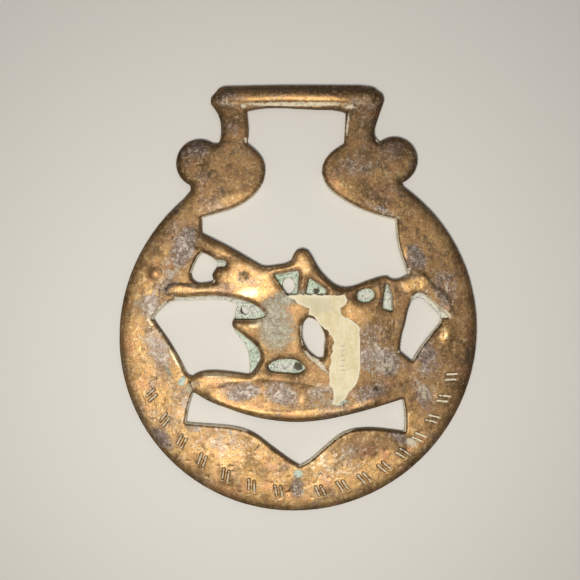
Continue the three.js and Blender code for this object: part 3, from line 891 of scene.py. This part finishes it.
# %% The matt films over it
verdigris = in_layers(tree, "#B8CAB0", (
    (blotch, 0.4, 0.6, 1.0, "#D4DECD"),
    (shares["chalk"], 0.0, 1.0, 0.85, "#D6D5CA"),
    (speck, 0.5, 0.62, 0.8, "#8A9087"),
    (fleck, 0.53, 0.64, 0.8, "#55564E"),
    (dust, 0.52, 0.64, 0.8, "#E4E8DD"),
))
polish_and_light_colour = in_layers(tree, "#F2E7CD", ((speck, 0.46, 0.66, 1.0, "#B3A78E"),))
glue = in_layers(tree, "#B4B29E", (
    (speck, 0.4, 0.6, 1.0, "#D0CFBE"),
    (fleck, 0.5, 0.64, 0.8, "#8D8A76"),
))
colour = in_layers(tree, metal, (
    (shares["green"], 0.0, 1.0, 1.0, verdigris),
    # dark dirt in hollows, which is also painted shade on walls and slopes that face away from
    # the lamp
    (shares["dirt_and_painted_shade"], 0.0, 1.0, 0.9, "#3B2C19"),
    # dried polish and pale stamped strokes, which are also painted light on walls that face the
    # lamp
    (shares["polish_and_painted_light"], 0.0, 1.0, 0.9, polish_and_light_colour),
    (shares["film"], 0.0, 1.0, 0.8, glue),
))

# %% How it shines
matt = shares["green"]
for name in ("polish_and_painted_light", "film"):
    matt = add(tree, "Math", {"operation": "MAXIMUM"}, matt, shares[name])
metallic = 0.9
for follows, value in (
    (shares["oxide"], 0.7),
    (shares["haze"], 0.4),
    (shares["dirt_and_painted_shade"], 0.1),
    (matt, 0.0),
):
    metallic = add(tree, "Mix", NUMBER, follows, metallic, value)
brown_dull = add(tree, "MapRange", SMOOTH, blotch, 0.3, 0.7, 0.53, 0.63)
gold_dull = add(tree, "MapRange", SMOOTH, speck, 0.3, 0.7, 0.45, 0.55)
dull = brown_dull
for follows, value in (
    (shares["wear_and_painted_light"], gold_dull),
    (shares["oxide"], 0.58),
    (shares["haze"], 0.6),
    (shares["polish_and_painted_highlight"], 0.42),
    (shares["dirt_and_painted_shade"], 0.85),
    (matt, 0.9),
):
    dull = add(tree, "Mix", NUMBER, follows, dull, value)
grain = add(tree, "Mix", NUMBER, 0.4, speck, fleck)
normal = add(tree, "Bump", {}, Height=grain, Strength=0.7, Distance=0.12 * MM)
shader = add(
    tree,
    "BsdfPrincipled",
    {},
    Base_Color=colour,
    Metallic=metallic,
    Roughness=dull,
    Normal=normal,
)
add(tree, "OutputMaterial", {}, Surface=shader)
skin.materials.clear()
skin.materials.append(brass)
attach(casting, "root")
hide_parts("brass_casting")
print("brass nodes:", len(tree.nodes))

# %% [markdown]
# ## The torn paper label
# An old shop label was stuck over the figure and mostly torn away. What is left is thin paper
# that follows every bump below it, spans the pockets, and has a ragged edge. It starts from
# the outline in the frame: its top face becomes one polygon, its border is cut short and
# jittered, and it is sliced into small squares, which are then laid down on the brass.

# %% A ragged sheet
GRID = 0.3  # mm between the cuts
LONG_EDGE = 0.4  # mm, and a longer one gets more corners
BORDER_STEP = 0.25  # mm between the corners of the border
TEAR = 0.5  # mm that the torn border wanders
MARGIN = 0.6  # mm that the cuts reach beyond it

label = merged_copy("paper_label", "torn_label")
bm = bmesh.new()
bm.from_mesh(label.data)
for face in bm.faces:
    face.normal_update()
lower = [face for face in bm.faces if face.normal.z < 0.9]
bmesh.ops.delete(bm, geom=lower, context="FACES")
loose = [vert for vert in bm.verts if not vert.link_faces]
bmesh.ops.delete(bm, geom=loose, context="VERTS")
bmesh.ops.dissolve_faces(bm, faces=bm.faces[:])
print("label outline:", len(bm.verts), "corners,", len(bm.faces), "face")
for edge in [edge for edge in bm.edges if edge.calc_length() > LONG_EDGE * MM]:
    cuts = int(edge.calc_length() / (BORDER_STEP * MM))
    bmesh.ops.subdivide_edges(bm, edges=[edge], cuts=max(cuts, 1))
border = np.array([vert.co for vert in bm.verts]) / MM
tear = np.stack([rough(border, 1.2, 31, 4), rough(border, 1.2, 37, 4)], axis=1)
torn = TEAR - 0.4 * ramp(border[:, 0], 12.3, 12.9)  # its right edge was cut, not torn
for vert, (dx, dy), amount in zip(bm.verts, tear, torn):
    vert.co.x += amount * dx * MM
    vert.co.y += amount * dy * MM
torn_border = np.array([vert.co for vert in bm.verts]) / MM

# %% Cut it into small squares
lowest_corner, highest_corner = border.min(axis=0) - MARGIN, border.max(axis=0) + MARGIN
for axis, across in enumerate((Vector((1, 0, 0)), Vector((0, 1, 0)))):
    for at in np.arange(lowest_corner[axis], highest_corner[axis], GRID):
        bmesh.ops.bisect_plane(
            bm,
            geom=bm.verts[:] + bm.edges[:] + bm.faces[:],
            plane_co=across * float(at) * MM,
            plane_no=across,
        )
bmesh.ops.triangulate(bm, faces=bm.faces[:])
bm.to_mesh(label.data)
bm.free()
sheet = label.data
print("the sheet has", len(sheet.vertices), "points")

# %% Lay it on the brass
PAPER = 0.12  # mm thick
GLUE_GAP = 0.02
SAG = 0.3  # mm that it sinks over the pockets
CRINKLE = 0.05
DRAPE_STEPS = 12  # how gently the sheet comes down beside what it lies on
LIFTED = (  # where it has come loose, with the height instead of a strength
    (11.5, -1.0, 2.2, 2.0, 0, 0.25),
    (2.2, -20.5, 1.5, 1.2, 0, 0.2),
)

ground = BVHTree.FromPolygons(
    [vert.co for vert in skin.vertices], [tuple(face.vertices) for face in skin.polygons]
)
paper = points_of(sheet)
ground_height = np.zeros(len(paper))
for i, (x, y, z) in enumerate(paper):
    hit = ground.ray_cast(Vector((x * MM, y * MM, 0.02)), Vector((0, 0, -1)))[0]
    ground_height[i] = hit.z / MM if hit else 0.0
lowest = np.maximum(ground_height, FIGURE_BACK - SAG)
paper_edges = edges_of(sheet)
height = lowest.copy()
for _ in range(DRAPE_STEPS):
    height = np.maximum(blurred(height, paper_edges, 2), lowest)
hanging = ramp(height - lowest, 0.0, 0.05)
height += GLUE_GAP + CRINKLE * (1 + rough(paper, 2.4, 41, 2)) * hanging
height += spots(paper, LIFTED)
paper[:, 2] = height
move_points(sheet, paper)
print("the label lies from", round(height.min(), 2), "to", round(height.max(), 2), "mm")

# %% Faded marks, stains and the torn rim
MARKS = [(9.4, -10.0 - 1.05 * i, 0.8, 0.2, 4, 1.0) for i in range(6)]  # short dashes
STAINS = ((4.0, -1.6, 5.0, 2.2, 0, 0.8), (8.6, -21.6, 3.4, 1.6, 10, 0.7))

border_tree = KDTree(len(torn_border))
for i, (x, y, z) in enumerate(torn_border):
    border_tree.insert((x, y, 0), i)
border_tree.balance()
inward = np.array([border_tree.find((x, y, 0))[2] for x, y, z in paper])
paint(sheet, {
    "ink": spots(paper, MARKS),
    "stain": spots(paper, STAINS),
    "torn": 1 - ramp(inward, 0.1, 0.8),
})
thicken = label.modifiers.new("thickness", "SOLIDIFY")
thicken.thickness = PAPER * MM
thicken.offset = 1
sheet = apply_modifiers(label)
sheet.shade_smooth()

# %% [markdown]
# ## Yellowed paper
# Cheap coated label paper goes cream as it ages. It is matt, with long faint fibres, stains
# where the glue came through, a whiter rim where it tore, and a few faded marks that can't
# be read.

# %% Paper material
paper_material, tree = new_material("yellowed_label_paper")
place = add(tree, "TexCoord", {}, gives="Object")
along = add(tree, "Mapping", {}, Vector=place, Scale=(1.0, 0.25, 1.0))
paper_noise = {}
for name, follows, size in (("fibre", along, 0.5), ("age", place, 4.5), ("dots", place, 0.45)):
    paper_noise[name] = add(
        tree,
        "TexNoise",
        {},
        Vector=follows,
        Scale=1 / (size * MM),
        Detail=4.0,
        Roughness=0.65,
    )
fibre, age, dots = paper_noise.values()
worn = {}
for name, amount in (("stain", 0.5), ("ink", 0.4), ("torn", 0.8)):
    worn[name] = frayed(tree, name, dots, amount)
tone = in_layers(tree, "#E9DDB9", (
    (age, 0.4, 0.65, 1.0, "#DACB9F"),
    (fibre, 0.45, 0.75, 0.4, "#C9B78A"),
    (dots, 0.5, 0.66, 0.5, "#F3EBD0"),
    (worn["stain"], 0.2, 0.9, 0.6, "#C6BFA4"),
    (worn["torn"], 0.3, 0.9, 0.6, "#EFE6CC"),
    (worn["ink"], 0.3, 0.8, 0.4, "#8E7486"),
))
normal = add(tree, "Bump", {}, Height=fibre, Strength=0.4, Distance=0.05 * MM)
shader = add(tree, "BsdfPrincipled", {}, Base_Color=tone, Roughness=0.8, Normal=normal)
add(tree, "OutputMaterial", {}, Surface=shader)
sheet.materials.clear()
sheet.materials.append(paper_material)
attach(label, "root")
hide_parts("paper_label")
print("paper nodes:", len(tree.nodes))

# %% [markdown]
# ## Floor and light
# A plain pale floor, and the soft light of a studio: one lamp close beside the camera, to its
# lower left, a large one farther away, and a grey sky all round that fills the shadows. The
# sky is dim, because polished metal shows it wherever it doesn't show a lamp, and that is
# what makes the rounded edges dark.

# %% Floor
FLOOR_SIZE = 0.6  # metres
FLOOR_GAP = 0.02  # mm below the face, so that the two don't share a plane

bm = bmesh.new()
bmesh.ops.create_grid(bm, x_segments=1, y_segments=1, size=FLOOR_SIZE)
floor_mesh = bpy.data.meshes.new("floor")
bm.to_mesh(floor_mesh)
bm.free()
floor = new_object("floor", floor_mesh)
floor.location.z = frame_low[2] - FLOOR_GAP * MM
floor_material, tree = new_material("pale_paper_floor")
shader = add(tree, "BsdfPrincipled", {}, Base_Color="#DEDBD5", Roughness=0.9)
add(tree, "OutputMaterial", {}, Surface=shader)
floor_mesh.materials.append(floor_material)
floor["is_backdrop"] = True

# %% Light
def softbox(name, place, size, power, colour):
    """A square lamp that looks at the middle of the brass.

    Its place and its size are in millimetres, and its power is in watts."""
    data = bpy.data.lights.new(name, "AREA")
    data.shape = "SQUARE"
    data.size = size * MM
    data.energy = power
    data.color = linear(colour)[:3]
    lamp = new_object(name, data)
    lamp.location = Vector(place) * MM
    lamp.rotation_euler = (lamp.location - AIM).to_track_quat("Z", "Y").to_euler()


softbox("key", LAMP, 28, 0.25, "#FFFBF4")
softbox("fill", (60, 120, 420), 300, 0.2, "#FFFFFF")
world = bpy.data.worlds.new("studio")
world.use_nodes = True
background = world.node_tree.nodes["Background"]
background.inputs["Color"].default_value = linear("#F2F2F0")
background.inputs["Strength"].default_value = 0.15
bpy.context.scene.world = world
bpy.context.scene.view_settings.view_transform = "Standard"

# %% [markdown]
# ## Sizes
# The frame's box and the finished model's box are printed one after the other, each as its
# size along x, y and z in millimetres, to compare them.

# %% Write the sizes and finish
boxes = [[list(corner) for corner in box] for box in ((frame_low, frame_high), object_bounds())]
for (low, high), name in zip(boxes, ("frame", "model")):
    print(name, "box, mm:", [round((b - a) / MM, 2) for a, b in zip(low, high)])
